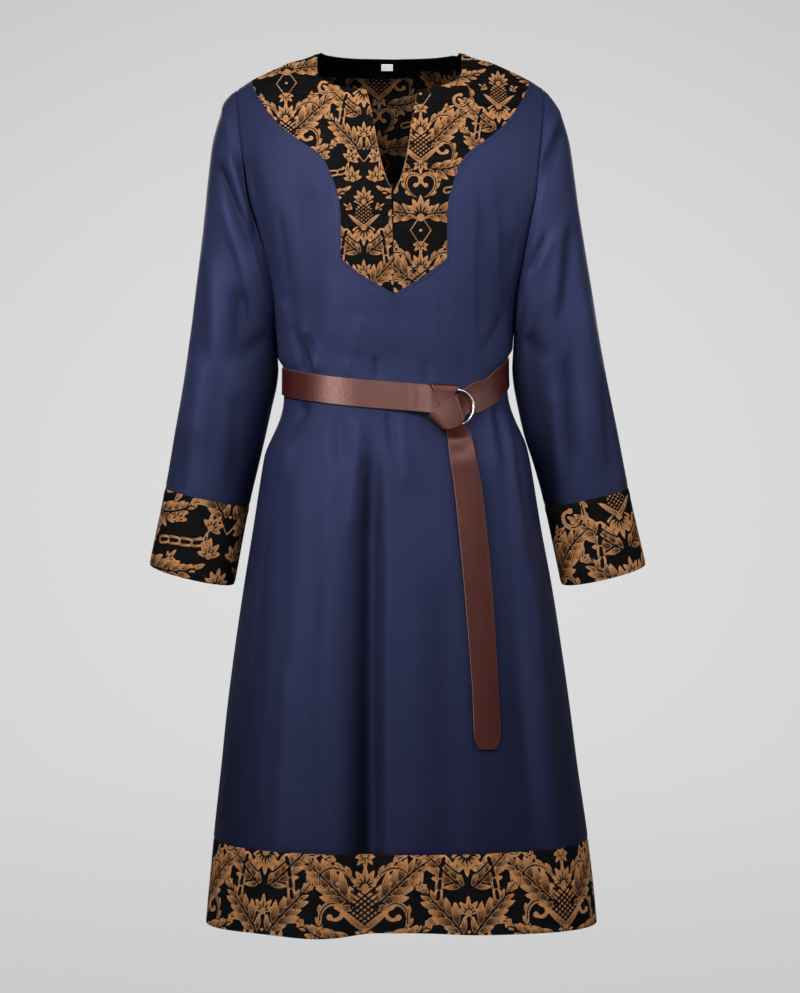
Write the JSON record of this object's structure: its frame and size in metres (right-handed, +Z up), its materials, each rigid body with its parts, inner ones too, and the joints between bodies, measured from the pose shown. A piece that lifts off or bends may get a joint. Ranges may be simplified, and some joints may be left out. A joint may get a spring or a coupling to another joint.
{
  "type": "long-sleeved dress with ring belt",
  "caption": "Worn, hollow long-sleeved tunic dress of navy satin with brocade yoke, cuffs and hem band, and a knotted leather ring belt",
  "frame": {"origin": "middle of the shoulder line, where the wearer's shoulders carry the dress", "axes": "+Z up the length of the dress, the front faces -Y, +X towards the wearer's left"},
  "size_m": [0.648, 0.2822, 1.1336],
  "materials": {
    "navy_satin": "navy satin weave with a soft sheen",
    "gold_brocade": "black ribbed ground with woven bronze and gold leaf scrolls",
    "brown_leather": "smooth brown leather, slight gloss",
    "bright_ring": "polished metal wire ring",
    "label_cloth": "small plain white woven label, blank"
  },
  "bodies": {
    "root": {"front_panel": "navy_satin", "back_panel": "navy_satin", "sleeve_left": "navy_satin", "sleeve_right": "navy_satin", "yoke_front_left": "gold_brocade", "yoke_front_right": "gold_brocade", "yoke_back": "gold_brocade", "cuff_left": "gold_brocade", "cuff_right": "gold_brocade", "hem_band_front": "gold_brocade", "hem_band_back": "gold_brocade", "belt_strap": "brown_leather", "belt_ring": "bright_ring", "neck_label": "label_cloth"}
  },
  "joints": []
}
